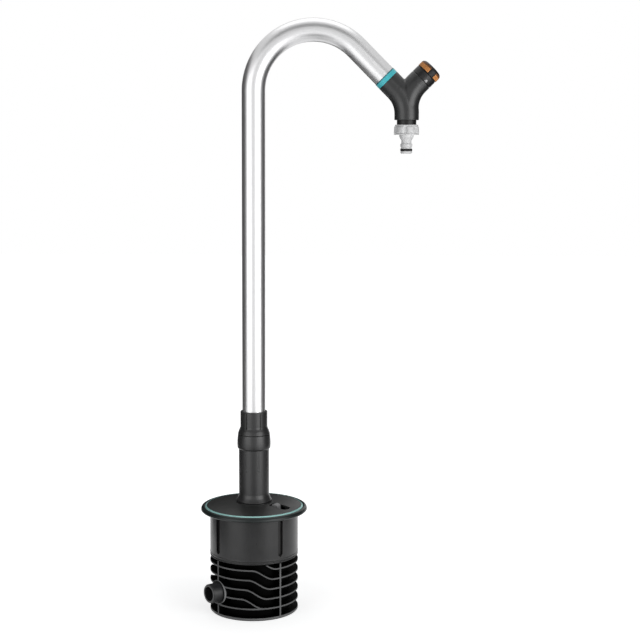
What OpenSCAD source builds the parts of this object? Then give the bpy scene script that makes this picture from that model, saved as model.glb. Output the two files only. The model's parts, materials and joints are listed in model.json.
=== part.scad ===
// Garden tap that plugs into a round ground socket box.
// Millimetres, +Z up, origin at the centre of the box's underside, spout towards +X.
// Angles round the box are counted from +X, anticlockwise seen from above.

/* [Pot] */
// Outer diameter of the fins and ribs
fin_d = 123.4; // [118:0.2:130]
// Outer diameter of the pot's wall
pot_d = 100; // [94:0.5:106]
// Thickness of the pot's wall
pot_wall = 3; // [2:0.2:4]
// Thickness of the pot's floor
floor_t = 3; // [2:0.2:5]
// Thickness of a fin
fin_t = 2; // [1.4:0.1:2.8]
// Distance from fin to fin, which is also the step of an arched fin
fin_pitch = 13.6; // [12:0.1:15.5]
// Height of the middle of the flat fin
fin_first_z = 17.1; // [15:0.1:19]
// Number of arched fins
arch_count = 5; // [4:1:6]
// Half of the angle that the lowest arch spans
arch_low_angle = 52.2; // [44:0.1:54]
// How much wider each higher arch is, to each side
arch_angle_step = 4.45; // [2:0.05:6]
// Half of the angle of the slope at each end of an arch
slope_half_angle = 15; // [11:0.5:18]
// Thickness of the four upright ribs
rib_t = 2.4; // [1.6:0.1:3.2]
// Direction of the inlet port and of the first rib
port_angle = -141.5; // [-150:0.5:-130]

/* [Inlet] */
// Height of the port's axis
port_z = 34.5; // [33.5:0.5:38]
// Outer diameter of the port
port_d = 26.4; // [24:0.2:28]
// Bore of the port
port_bore_d = 20; // [14:0.5:21]
// How far the port stands out of the fins
port_reach = 15.6; // [10:0.2:20]
// Outer diameter of the pot's boss round the port
port_boss_d = 32.8; // [31:0.2:34]
// Outer diameter of the inlet body's tower
tower_d = 44; // [41:0.5:48]
// Height of the tower above the port's axis
tower_rise = 27.5; // [25:0.5:34]

/* [Shell and lid] */
// Height of the upper shell
shell_h = 63.3; // [55:0.1:80]
// Thickness of the shell's wall
shell_wall = 2.6; // [2:0.1:3.5]
// How far the shell's lower edge lies under the next fin level
shell_drop = 6.4; // [5:0.1:8]
// Width of the upright grooves in the shell
groove_w = 8; // [5:0.2:9]
// Depth of the upright grooves
groove_depth = 3; // [1:0.1:3.2]
// Height of the grooves' lower points above the shell's lower edge
groove_foot = 8.7; // [8:0.1:12]
// Height of a groove's point
groove_point_h = 3.8; // [2:0.1:6]
// Outer diameter of the lid's rim
rim_d = 148.6; // [146.6:0.2:156]
// Diameter of the lid plate
lid_d = 131.6; // [128:0.2:134]
// Thickness of the lid plate's edge
lid_edge_t = 2.8; // [2.2:0.1:3.6]
// How far the lid plate is domed
lid_crown = 6.1; // [5.8:0.1:7.2]
// Width of the line ring let into the rim
line_w = 2.4; // [1.4:0.1:2.6]
// How far the line ring's top falls towards the outside
line_drop = 1.6; // [0.4:0.1:1.7]
// Width of the shadow gap at each side of the line ring
line_gap = 0.6; // [0.3:0.1:0.8]

/* [Lid latch] */
// Direction of the latch
latch_angle = -32; // [-45:1:-20]
// Distance of the latch button's inner end from the box's axis
latch_r = 33; // [32:0.5:36]
// Length of the latch button
latch_len = 8.8; // [7:0.2:10]
// Width of the latch button
latch_w = 8.8; // [8:0.2:10]
// How far the button stands out of the lid
latch_rise = 1.7; // [1:0.1:2.5]
// Length of the open slot between the button and the finger recess
slot_len = 4.4; // [3.4:0.2:5]
// Length of the finger recess beside the slot
recess_len = 11.4; // [10:0.2:12]
// Width of the slot and of the finger recess
recess_w = 16.4; // [12:0.2:18]
// How far the latch can be pressed in
latch_travel = 2.6; // [2:0.1:3]

/* [Standpipe foot] */
// Diameter of the stem that plugs into the box
stem_d = 28; // [26:0.2:29]
// Bore of the stem
stem_bore_d = 19; // [15:0.5:20]
// Depth of the stem below the foot
stem_depth = 72; // [66:0.5:76]
// Outer diameter of the foot
foot_d = 49.2; // [47:0.2:53]
// Height of the foot's flare
foot_h = 11; // [8:0.5:14]
// Outer diameter of the lower sleeve
sleeve_d = 42.2; // [41.4:0.2:43]
// Height of the lower sleeve, foot included
sleeve_h = 74.3; // [66:0.1:100]
// Outer diameter of the socket collar
collar_d = 46.5; // [45.5:0.1:49]
// Height of the socket collar
collar_h = 20.7; // [18:0.1:26]
// Outer diameter of the clamp nut's grip
nut_d = 37.5; // [36.6:0.1:38.6]
// Height of the clamp nut above the collar
nut_h = 32.7; // [28:0.1:40]

/* [Tube] */
// Outer diameter of the tube
tube_d = 32; // [31:0.2:32.6]
// Thickness of the tube's wall
tube_wall = 1.6; // [1.2:0.1:2.2]
// Depth of the tube inside the nut and the sleeve
tube_insert = 82.9; // [70:0.1:90]
// Height of the straight tube from the nut to the bend
tube_straight = 440.8; // [300:1:600]
// Radius of the bend on the tube's centre line
bend_r = 81.5; // [65:0.5:110]
// Length from the end of the bend to the middle of the housing
leg_len = 91.65; // [86:0.05:140]

/* [Tap head] */
// Tilt of the inlet arm and of the valve arm from the vertical
arm_tilt = 45; // [42:1:48]
// Outer diameter of the inlet arm and of the outlet
housing_d = 33.2; // [32.6:0.1:35]
// Outer diameter of the valve arm
valve_arm_d = 32.4; // [32:0.1:33]
// Radius of the housing's bends on the centre line
housing_bend_r = 45; // [40:0.5:48]
// Length of the inlet arm from the housing's middle
inlet_arm_len = 30.5; // [29:0.1:40]
// Length of the valve arm from the housing's middle
valve_arm_len = 32.2; // [29:0.1:36]
// Distance from the housing's middle down to its lower end
outlet_len = 31.7; // [30:0.1:38]
// How far the outlet stands beyond the crossing of the two arms
outlet_shift = 4; // [0:0.1:5]
// Width of the spacer ring
spacer_w = 7.7; // [5:0.1:14]
// Height of the bonnet
bonnet_h = 10.3; // [10:0.1:15]
// Height of the knob
knob_h = 12.1; // [10.5:0.1:14]
// Outer diameter of the knob's grips
grip_d = 33; // [32.6:0.1:37]
// Diameter of the knob's flat top
knob_top_d = 24.4; // [22:0.2:28]
// Angle that one grip spans
grip_angle = 86; // [60:1:100]
// Lift of the valve plug for one turn of the knob
plug_lead = 5; // [3:0.5:6]
// Diameter of the spindle
spindle_d = 8; // [7:0.2:8.6]

/* [Outlet] */
// Outer diameter of the outlet thread
thread_d = 26.4; // [24.6:0.2:27]
// Length of the outlet thread
thread_len = 15.4; // [13:0.1:20]
// Length of thread that shows above the connector
thread_show = 6.1; // [3:0.1:8]
// Diameter of the connector nut at the top of its lobes
lobe_d = 33.4; // [32.4:0.2:36]
// Number of lobes
lobe_count = 6; // [5:1:8]
// Diameter of the nipple's collar
nipple_d = 16.2; // [15.4:0.1:17]
// Length of the nipple
nipple_len = 25.4; // [24:0.1:28]
// Bore of the nipple
nipple_bore_d = 9; // [6:0.5:9.5]

/* [Hidden] */

$fn = 96;
dome_fn = 720;

// Clearances
run_gap = 0.05;
fit_gap = 0.1;
body_gap = 0.3;
cut = 1;

// Pot
fin_r = fin_d / 2;
pot_r = pot_d / 2;
pot_in_r = pot_r - pot_wall;
rib_count = 4;
pot_h = fin_first_z + arch_count * fin_pitch - shell_drop;
shoulder_t = 3;
shoulder_z = pot_h + 1.4;
shoulder_r = fin_r - shell_wall - body_gap;
arch_mid_angle = port_angle;
slope_points = 14;
rim_fin_t = 4;
rim_chamfer = 1.2;
drain_d = 6;
drain_r = pot_in_r - 8;
base_screw_r = 17.5;
base_screw_d = 3.8;
base_head_d = 7.6;
base_head_t = 1.6;
base_screw_len = 8.4;

// Inlet body
tower_r = tower_d / 2;
tower_in_r = tower_r - 6;
tower_floor_z = floor_t + 9;
tower_top_z = port_z + tower_rise;
port_end_r = fin_r + port_reach;
port_face_r = fin_r + body_gap;
port_chamfer = 1.4;
port_neck_r = port_d / 2 - port_chamfer / 2;

// Shell and lid
shell_z = pot_h;
shell_r = fin_r - 0.1;
shell_in_r = shell_r - shell_wall;
shell_top_z = shell_z + shell_h;
shell_ledge = 1.6;
boss_r = 6;
boss_place_r = shell_in_r - 3.6;
lid_screw_d = 3.8;
lid_screw_len = 14;
lid_head_d = 7.4;
lid_head_t = 1.8;
deck_t = 3;
deck_top_z = shell_top_z + deck_t;
deck_in_r = 37;
seat_z = shell_top_z + 4.5;
lid_edge_z = seat_z + lid_edge_t;
lid_r = lid_d / 2;
rim_r = rim_d / 2;
lid_wall = 2.6;
dome_r = (lid_r * lid_r + lid_crown * lid_crown) / (2 * lid_crown);
dome_mid_z = lid_edge_z + lid_crown - dome_r;
pad_z = lid_edge_z + lid_crown - 0.5;
pad_r = foot_d / 2 + 1.4;
line_in_r = lid_r + line_gap;
line_out_r = line_in_r + line_w;
line_proud = 0.3;
line_z = seat_z + 0.2;

// Receiver
gasket_t = 2;
web_z = tower_top_z + gasket_t;
web_t = 6;
web_hole_r = 8;
receiver_r = stem_d / 2 + 6;
receiver_flange_r = deck_in_r + 3;
receiver_flange_t = 2;
receiver_top_z = deck_top_z + receiver_flange_t;
skirt_h = 12;
skirt_wall = 5;

// Latch
latch_plate_t = 2.1;
latch_plate_z = receiver_top_z + body_gap;
latch_hole_r = stem_d / 2 + 0.6;
latch_ring_r = latch_hole_r + 6.4;
latch_groove_r = stem_d / 2 - latch_travel + 0.3;
latch_out = latch_r + latch_len;
slot_out = latch_out + slot_len;
recess_out = slot_out + recess_len;
recess_floor_z = deck_top_z + 2.2;
recess_wall = 1.6;
recess_end_r = recess_w * 0.75;
spring_z = receiver_top_z + 2.3;
spring_lug_x = latch_travel - latch_ring_r;
spring_len = 8;
spring_stop_x = spring_lug_x - spring_len - 2 * 0.3;
spring_stop_h = 4.2;

// Standpipe foot
swivel_gap = 0.3;
foot_z = pad_z + swivel_gap;
foot_r = foot_d / 2;
stem_r = stem_d / 2;
stem_bore_r = stem_bore_d / 2;
stem_z = foot_z - stem_depth;
stem_bar_t = 4;
receiver_bore_r = stem_r + run_gap;
seal_w = 2.8;
seal_depth = 1.6;
stem_seal_zs = [stem_z + 16, stem_z + 28];
sleeve_r = sleeve_d / 2;
sleeve_top_z = foot_z + sleeve_h;
neck_h = 9;
neck_r = sleeve_r - 0.9;
collar_r = collar_d / 2;
collar_top_z = sleeve_top_z + collar_h;
nut_r = nut_d / 2;
nut_top_z = collar_top_z + nut_h;
nut_spigot_r = neck_r - 0.8;
nut_spigot_h = collar_h - neck_h - body_gap;
flute_count = 6;
flute_w = 2.2;
flute_depth = 1.2;
seam_h = 0.7;
seam_depth = 1.6;
tube_r = tube_d / 2;
tube_in_r = tube_r - tube_wall;
tube_z = nut_top_z - tube_insert;
stem_flange_t = 4;
chamber_r = tube_r + 2.1;
collet_in_r = tube_r + run_gap;
collet_r = chamber_r - 0.2;
seal_h = 6;
spigot_h = 15;

// Tube and head
bend_z = nut_top_z + tube_straight;
half_tilt = arm_tilt / 2;
bend_angle = 180 - arm_tilt;
bend_end_z = bend_z + bend_r * sin(arm_tilt);
arc_end_x = bend_r + bend_r * cos(arm_tilt);
mid_x = arc_end_x + leg_len * sin(arm_tilt);
mid_z = bend_end_z - leg_len * cos(arm_tilt);
outlet_x = mid_x + outlet_shift;
corner_drop = outlet_shift / tan(arm_tilt);
corner_reach = outlet_shift / sin(arm_tilt);
tube_end = inlet_arm_len + spacer_w;
housing_r = housing_d / 2;
valve_arm_r = valve_arm_d / 2;
elbow_rise = housing_bend_r * tan(half_tilt);
bend_proud = 0.1;
bend_lap = 1.5;
outlet_z = mid_z - outlet_len;
inlet_bore_r = 9;
spigot_r = tube_in_r - 0.1;
spigot_len = 20;
spigot_groove = tube_end + 11;

// Valve
seat_t = 2;
seat_hole_r = 6.5;
chamber_bore_r = 12.4;
side_bore_r = 5.5;
side_bore_offset = seat_t + 1 + side_bore_r;
guide_flats = 15;
plug_flats = guide_flats - 2 * fit_gap;
guide_z = valve_arm_len - 14;
cavity_z = valve_arm_len + 0.3;
cavity_h = 3.6;
cavity_r = 8.8;
spindle_r = spindle_d / 2;
spindle_collar_r = 7;
spindle_collar_h = 3;
spindle_collar_z = cavity_z + cavity_h - 0.3 - spindle_collar_h;
stud_r = 3.2;
stud_len = 17.9;
stud_z = spindle_collar_z - stud_len;
bonnet_notch = 0.8;
bonnet_top = valve_arm_len + bonnet_h;
knob_gap = 0.3;
knob_z = bonnet_top + knob_gap;
knob_top = knob_z + knob_h;
grip_r = grip_d / 2;
knob_r = grip_r - 0.3;
grip_t = 1.6;
grip_z = knob_z + 0.9;
grip_h = 8.4;
grip_slope_h = 2.6;
grip_count = 3;
grip_first_angle = -14.5;
knob_wall = 2.4;
knob_hub_r = 6.5;
cap_r = 8.5;
cap_t = 1.2;
spindle_top = knob_top - cap_t - 3.4;
screw_head_r = 3;
screw_head_t = 1.8;
screw_r = 1.5;
plug_seal_t = 3;
plug_seal_r = 9;
plug_z = seat_t + plug_seal_t;
plug_h = 17;

// Outlet
thread_r = thread_d / 2;
thread_end_z = outlet_z - thread_len;
insert_r = thread_r - 1.2;
insert_h = 12;
outlet_bore_r = 9.4;
washer_t = 2;
floor_nut_t = 2.4;
nut_bottom_z = thread_end_z - washer_t - floor_nut_t;
connector_top_z = outlet_z - thread_show;
barrel_r = thread_r + 1.1;
lobe_r = lobe_d / 2;
lobe_flare = 0.6;
lobe_first_angle = -70;
nipple_r = nipple_d / 2;
nipple_tip_z = nut_bottom_z - nipple_len;
nipple_groove_z = nut_bottom_z - 21.8;
nipple_groove_h = 3;
nipple_groove_r = nipple_r - 1.8;

// Springs: wire rings and curls
wire_sides = 6;
rings_per_curl = 8;
poppet_coil_r = 7.5;
poppet_wire_r = 0.7;
poppet_curls = 4;
latch_coil_r = 1.8;
latch_wire_r = 0.3;
latch_curls = 5;

// Places of parts that stand round the axis
module around(count, first = 0) {
  for (i = [0 : count - 1])
    rotate([0, 0, first + i * 360 / count])
      children();
}

module ring(r_out, r_in, z, h) {
  translate([0, 0, z])
    linear_extrude(h)
      difference() {
        circle(r_out);
        circle(r_in);
      }
}

module disc(r, z, h) {
  translate([0, 0, z])
    cylinder(r = r, h = h);
}

// Frames of the two arms: local Z leaves the middle of the housing
module at_inlet_arm() {
  translate([mid_x, 0, mid_z])
    rotate([0, -arm_tilt, 0])
      children();
}

module at_valve_arm() {
  translate([mid_x, 0, mid_z])
    rotate([0, arm_tilt, 0])
      children();
}

// Height of an arched fin along its slope, from 0 at its foot to 1 at its crest
function slope(u) = (1 - cos(180 * u)) / 2;

// One slope, seen from outside, as a band that climbs one pitch to the left
module slope_band(width) {
  upper = [for (i = [0 : slope_points])
    let (u = i / slope_points)
      [width / 2 - u * width, slope(u) * fin_pitch + fin_t / 2 + 0.04]];
  lower = [for (i = [slope_points : -1 : 0])
    let (u = i / slope_points)
      [width / 2 - u * width, slope(u) * fin_pitch - fin_t / 2 - 0.04]];
  polygon(concat(upper, lower));
}

module slope_piece(low_z) {
  width = 2 * fin_r * sin(slope_half_angle);
  translate([0, 0, low_z])
    rotate([90, 0, 90])
      linear_extrude(fin_r + cut)
        slope_band(width);
}

// The part of a flat ring that lies within half_angle of the direction mid
module ring_sector(z, mid, half_angle) {
  rotate([0, 0, mid - half_angle])
    translate([0, 0, z - fin_t / 2])
      rotate_extrude(angle = 2 * half_angle)
        translate([pot_r - cut, 0])
          square([fin_r - pot_r + cut, fin_t]);
}

// An arched fin: low behind, one pitch higher over the port
module arched_fin(level) {
  low_z = fin_first_z + level * fin_pitch;
  half = arch_low_angle + level * arch_angle_step;
  if (level > 0)
    ring_sector(low_z, arch_mid_angle + 180, 180 - half - slope_half_angle + 0.4);
  if (level < arch_count - 1)
    ring_sector(low_z + fin_pitch, arch_mid_angle, half - slope_half_angle + 0.4);
  intersection() {
    union() {
      rotate([0, 0, arch_mid_angle + half])
        slope_piece(low_z);
      rotate([0, 0, arch_mid_angle - half])
        mirror([0, 1, 0])
          slope_piece(low_z);
    }
    ring(fin_r - 0.05, pot_r - cut, low_z - fin_t, level < arch_count - 1
      ? fin_pitch + 2 * fin_t
      : pot_h - body_gap - low_z + fin_t - 0.1);
  }
}

module finned_pot() color("#141414") {
  difference() {
    union() {
      disc(pot_r, 0, shoulder_z + shoulder_t);
      translate([0, 0, rim_chamfer])
        cylinder(r = fin_r + 0.1, h = rim_fin_t - rim_chamfer);
      cylinder(r1 = fin_r + 0.1 - rim_chamfer, r2 = fin_r + 0.1, h = rim_chamfer);
      ring(fin_r, pot_r - cut, fin_first_z - fin_t / 2, fin_t);
      disc(shoulder_r, shoulder_z, shoulder_t);
      for (level = [0 : arch_count - 1])
        arched_fin(level);
      around(rib_count, port_angle)
        translate([pot_r - cut, -rib_t / 2, rim_chamfer])
          cube([fin_r - pot_r + cut + 0.05, rib_t, pot_h - body_gap - rim_chamfer]);
      rotate([0, 0, port_angle])
        translate([0, 0, port_z])
          rotate([0, 90, 0])
            cylinder(d = port_boss_d, h = port_face_r);
    }
    disc(pot_in_r, floor_t, shoulder_z + shoulder_t);
    rotate([0, 0, port_angle])
      translate([0, 0, port_z])
        rotate([0, 90, 0])
          cylinder(d = port_d + 2 * fit_gap, h = fin_r + cut);
    around(rib_count, port_angle + 45)
      translate([drain_r, 0, -cut])
        cylinder(d = drain_d, h = floor_t + 2 * cut);
    around(rib_count, port_angle + 45)
      translate([base_screw_r, 0, -cut]) {
        cylinder(d = base_screw_d + 2 * fit_gap, h = floor_t + 2 * cut);
        cylinder(d = base_head_d + 2 * fit_gap, h = base_head_t + cut);
      }
  }
}

// One self-tapping screw with its head at the top of the local frame
module screw(d, len, head_d, head_t) {
  translate([0, 0, -len])
    cylinder(d = d, h = len);
  difference() {
    cylinder(d = head_d, h = head_t);
    translate([0, 0, head_t / 2])
      cylinder(d = head_d / 2, h = head_t, $fn = 6);
  }
}

module base_screws() color("silver")
  around(rib_count, port_angle + 45)
    translate([base_screw_r, 0, base_head_t])
      mirror([0, 0, 1])
        screw(base_screw_d, base_screw_len, base_head_d, base_head_t - 0.2);

// Upright groove with a pointed lower end
module shell_groove() {
  translate([shell_r - groove_depth, 0, shell_z + groove_foot])
    rotate([90, 0, 90])
      linear_extrude(groove_depth + cut)
        polygon([[0, 0], [groove_w / 2, groove_point_h], [groove_w / 2, shell_h + cut],
                 [-groove_w / 2, shell_h + cut], [-groove_w / 2, groove_point_h]]);
}

// Cross section of the shell's outside: two beads at its lower edge, then the plain wall
function shell_profile() = [
  [0, 0], [shell_r - 1.4, 0], [shell_r, 1.2], [shell_r, 1.9], [shell_r - 0.9, 2.7],
  [shell_r - 0.9, 4], [shell_r + 0.3, 5], [shell_r + 0.3, 5.9], [shell_r, 6.4],
  [shell_r, shell_h], [0, shell_h]];

module upper_shell() color("#5a5a5a") {
  step_z = shoulder_z + shoulder_t;
  difference() {
    translate([0, 0, shell_z])
      rotate_extrude()
        polygon(shell_profile());
    difference() {
      union() {
        disc(shell_in_r, shell_z - cut, step_z - shell_z + cut);
        disc(shell_in_r - shell_ledge, shell_z, shell_h + cut);
      }
      around(rib_count, port_angle)
        translate([boss_place_r, 0, step_z + 2])
          cylinder(r = boss_r, h = shell_h);
    }
    around(rib_count, port_angle)
      shell_groove();
    around(rib_count, port_angle)
      translate([boss_place_r, 0, shell_top_z - lid_screw_len])
        cylinder(d = lid_screw_d + 2 * fit_gap, h = lid_screw_len + cut);
  }
}

// Cross section of the rim, from the shell's top outwards
module lid_flange() color("#2f3230") {
  lip = [[deck_in_r, shell_top_z], [rim_r - 1.5, shell_top_z + 0.2], [rim_r, shell_top_z + 1.6],
         [rim_r - 0.3, shell_top_z + 4.1], [rim_r - 1.2, shell_top_z + 5.5],
         [rim_r - 2.1, shell_top_z + 6.1], [rim_r - 3.3, shell_top_z + 6.6],
         [line_out_r + line_gap + 0.3, shell_top_z + 6.5], [line_out_r + line_gap, shell_top_z + 6.2],
         [line_out_r + line_gap, line_z], [line_in_r - 0.1, line_z], [line_in_r - 0.1, seat_z],
         [lid_r - 5, seat_z], [lid_r - 6, deck_top_z], [deck_in_r, deck_top_z]];
  difference() {
    rotate_extrude()
      polygon(lip);
    around(rib_count, port_angle)
      translate([boss_place_r, 0, shell_top_z - cut]) {
        cylinder(d = lid_screw_d + 2 * fit_gap, h = deck_t + 2 * cut);
        translate([0, 0, cut + deck_t - lid_head_t])
          cylinder(d = lid_head_d + 2 * fit_gap, h = lid_head_t + 3 * cut);
      }
  }
}

module lid_screws() color("silver")
  around(rib_count, port_angle)
    translate([boss_place_r, 0, deck_top_z - lid_head_t])
      screw(lid_screw_d, lid_screw_len - 2, lid_head_d, lid_head_t - 0.2);

// Narrow ring whose top falls towards the outside
module lid_line_ring() color("#82aaaa") {
  top_z = lid_edge_z + line_proud;
  rotate_extrude()
    polygon([[line_in_r, line_z], [line_out_r, line_z], [line_out_r, top_z - line_drop - 0.3],
             [line_out_r - 0.3, top_z - line_drop], [line_in_r + 0.3, top_z], [line_in_r, top_z - 0.2]]);
}

// Outline of the finger recess with its round outer end, in the latch's own frame
module recess_outline(inner, grow) {
  w = recess_w + 2 * grow;
  intersection() {
    translate([inner, -w / 2])
      square([recess_out + grow - inner, w]);
    translate([recess_out - recess_end_r, 0])
      circle(r = recess_end_r + grow);
  }
}

// The space under the middle of the lid plate's wall
module under_dome() {
  rotate_extrude()
    intersection() {
      translate([0, dome_mid_z])
        circle(dome_r - lid_wall / 2, $fn = dome_fn);
      translate([0, deck_top_z])
        square([lid_r - 1, lid_crown + 8]);
    }
}

module lid_plate() color("#3a3c3b") {
  slot_in = latch_r - latch_travel - body_gap;
  difference() {
    union() {
      intersection() {
        difference() {
          rotate_extrude()
            intersection() {
              translate([0, dome_mid_z])
                difference() {
                  circle(dome_r, $fn = dome_fn);
                  circle(dome_r - lid_wall, $fn = dome_fn);
                }
              translate([0, seat_z])
                square([lid_r, lid_crown + lid_edge_t + cut]);
            }
        }
        disc(lid_r + cut, seat_z - cut, pad_z - seat_z + cut);
      }
      ring(lid_r, lid_r - 4, seat_z, lid_edge_t - 0.2);
      ring(pad_r, stem_r + 2.5, pad_z - 2, 2);
      intersection() {
        under_dome();
        rotate([0, 0, latch_angle])
          translate([0, 0, recess_floor_z - recess_wall])
            linear_extrude(lid_crown + 8)
              recess_outline(slot_out, recess_wall);
      }
    }
    disc(stem_r + 2.5, seat_z - cut, lid_crown + lid_edge_t + 3 * cut);
    rotate([0, 0, latch_angle]) {
      translate([0, 0, recess_floor_z])
        linear_extrude(lid_crown + 8)
          recess_outline(slot_out - cut, 0);
      translate([slot_in, -recess_w / 2, recess_floor_z - recess_wall - cut])
        cube([slot_out - slot_in, recess_w, lid_crown + 12]);
    }
  }
}

// The latch: a ring round the stem's groove, with its button, pushed outwards at rest
module lid_latch() color("#77797a") {
  button_top_z = dome_mid_z + sqrt(dome_r * dome_r - latch_r * latch_r) + latch_rise;
  rotate([0, 0, latch_angle])
    difference() {
      union() {
        translate([latch_travel, 0, latch_plate_z])
          cylinder(r = latch_ring_r, h = latch_plate_t);
        translate([latch_hole_r, -latch_w / 2, latch_plate_z])
          cube([latch_out - latch_hole_r, latch_w, latch_plate_t]);
        translate([latch_r, -latch_w / 2, latch_plate_z])
          button_block(button_top_z - latch_plate_z);
        translate([spring_lug_x, -3, latch_plate_z])
          cube([2, 6, spring_stop_h]);
      }
      translate([latch_travel, 0, latch_plate_z - cut])
        cylinder(r = latch_hole_r, h = latch_plate_t + 2 * cut);
    }
}

// Button with a ramped, lightly rounded top
module button_block(h) {
  rotate([90, 0, 0])
    mirror([0, 0, 1])
      linear_extrude(latch_w)
        polygon([[0, 0], [latch_len, 0], [latch_len, h - 2.2], [latch_len - 1.5, h - 0.9],
                 [3, h], [1, h - 0.4], [0, h - 1.4]]);
}

// A round wire on a helix: a closed tube with straight end rings
function helix_point(r, pitch, i) =
  let (t = i / rings_per_curl)
    [r * cos(360 * t), r * sin(360 * t), pitch * t];

module wire_coil(r, wire_r, curls, length) {
  pitch = (length - 2 * wire_r) / curls;
  count = curls * rings_per_curl + 1;
  climb = atan2(pitch, 2 * PI * r);
  points = [for (i = [0 : count - 1])
    let (p = helix_point(r, pitch, i), a = 360 * i / rings_per_curl)
      for (k = [0 : wire_sides - 1])
        let (b = 360 * k / wire_sides,
             out = wire_r * cos(b),
             up = wire_r * sin(b))
          [p[0] + out * cos(a) + up * sin(climb) * sin(a),
           p[1] + out * sin(a) - up * sin(climb) * cos(a),
           p[2] + up * cos(climb) + wire_r]];
  sides = [for (i = [0 : count - 2])
    for (k = [0 : wire_sides - 1])
      let (n = (k + 1) % wire_sides, a = i * wire_sides, b = a + wire_sides)
        each [[a + k, b + k, b + n], [a + k, b + n, a + n]]];
  start = [for (k = [1 : wire_sides - 2]) [0, k, k + 1]];
  last = (count - 1) * wire_sides;
  finish = [for (k = [1 : wire_sides - 2]) [last, last + k + 1, last + k]];
  echo(coil_gap = pitch * cos(climb) - 2 * wire_r);
  polyhedron(points, concat(sides, start, finish));
}

module latch_spring() color("silver")
  rotate([0, 0, latch_angle])
    translate([spring_lug_x - body_gap, 0, spring_z])
      rotate([0, -90, 0])
        wire_coil(latch_coil_r, latch_wire_r, latch_curls, spring_len);

module port_pipe(r, from, to) {
  rotate([0, 0, port_angle])
    translate([0, 0, port_z])
      rotate([0, 90, 0])
        translate([0, 0, from])
          cylinder(r = r, h = to - from);
}

// Tower under the receiver, with the inlet port at its side
module inlet_body() color("#2c2c2c") {
  difference() {
    union() {
      disc(tower_r, floor_t, tower_top_z - floor_t);
      port_pipe(port_neck_r, 0, port_end_r);
      port_pipe(port_d / 2, port_face_r, port_end_r - port_chamfer);
    }
    disc(tower_in_r, tower_floor_z, tower_top_z);
    port_pipe(port_bore_d / 2, tower_in_r - 3, port_end_r + cut);
    around(rib_count, port_angle + 45)
      translate([base_screw_r, 0, floor_t - cut])
        cylinder(d = base_screw_d + 2 * fit_gap, h = base_head_t + base_screw_len - floor_t + cut + 0.6);
  }
}

module receiver() color("#3c3c3c") {
  skirt_in_r = tower_r + fit_gap;
  difference() {
    union() {
      disc(skirt_in_r + skirt_wall, tower_top_z - skirt_h, skirt_h + gasket_t + web_t);
      disc(receiver_r, web_z, receiver_top_z - web_z);
      disc(receiver_flange_r, deck_top_z, receiver_flange_t);
      rotate([0, 0, latch_angle])
        translate([spring_stop_x - 2.5, -3, deck_top_z])
          cube([2.5, 6, receiver_flange_t + spring_stop_h]);
    }
    disc(skirt_in_r, tower_top_z - skirt_h - cut, skirt_h + gasket_t + cut);
    disc(web_hole_r, web_z - cut, web_t + 2 * cut);
    disc(receiver_bore_r, web_z + web_t, receiver_top_z);
  }
}

module receiver_gasket() color("#101010")
  ring(tower_r, tower_in_r, tower_top_z, gasket_t);

// Basket with upright slots, standing in the tower
module filter_sieve() color("#d8d8d8") {
  sieve_r = tower_in_r - 0.2;
  top_z = tower_top_z - 17;
  slots = 16;
  difference() {
    disc(sieve_r, tower_floor_z, top_z - tower_floor_z);
    disc(sieve_r - 1.4, tower_floor_z - cut, top_z - tower_floor_z - 1);
    disc(2.8, tower_floor_z, top_z);
    around(slots)
      translate([sieve_r - 3, -0.8, tower_floor_z + 3])
        cube([6, 1.6, top_z - tower_floor_z - 8]);
  }
}

poppet_top_z = web_z - 4;
poppet_disc_t = 4;
poppet_r = 11;

module poppet() color("#e0e0e0") {
  disc(poppet_r, poppet_top_z - poppet_disc_t, poppet_disc_t);
  disc(3, poppet_top_z, stem_z - body_gap - poppet_top_z);
  disc(2.6, tower_top_z - 24, poppet_top_z - poppet_disc_t - tower_top_z + 24);
}

module poppet_seal() color("#101010")
  ring(poppet_r - 0.5, web_hole_r - 2, poppet_top_z, 1.6);

module poppet_spring() color("silver") {
  base = tower_top_z - 17;
  translate([0, 0, base])
    wire_coil(poppet_coil_r, poppet_wire_r, poppet_curls, poppet_top_z - poppet_disc_t - base);
}

// Stem with its latch groove, seal grooves, top flange and spigot for the tube
module stem() color("#262626") {
  difference() {
    union() {
      disc(stem_r, stem_z, tube_z - stem_z);
      disc(chamber_r - 0.05, tube_z - stem_flange_t, stem_flange_t);
      disc(tube_in_r - fit_gap, tube_z, spigot_h);
    }
    difference() {
      disc(stem_bore_r, stem_z - cut, tube_z + spigot_h - stem_z + 2 * cut);
      translate([-stem_r, -1.6, stem_z])
        cube([2 * stem_r, 3.2, stem_bar_t]);
    }
    ring(stem_r + cut, latch_groove_r, latch_plate_z - 0.4, latch_plate_t + 0.8);
    for (z = stem_seal_zs)
      ring(stem_r + cut, stem_r - seal_depth, z, seal_w);
  }
}

module stem_seals() color("#101010")
  for (z = stem_seal_zs)
    ring(stem_r, stem_r - seal_depth, z + 0.1, seal_w - 0.2);

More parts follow.
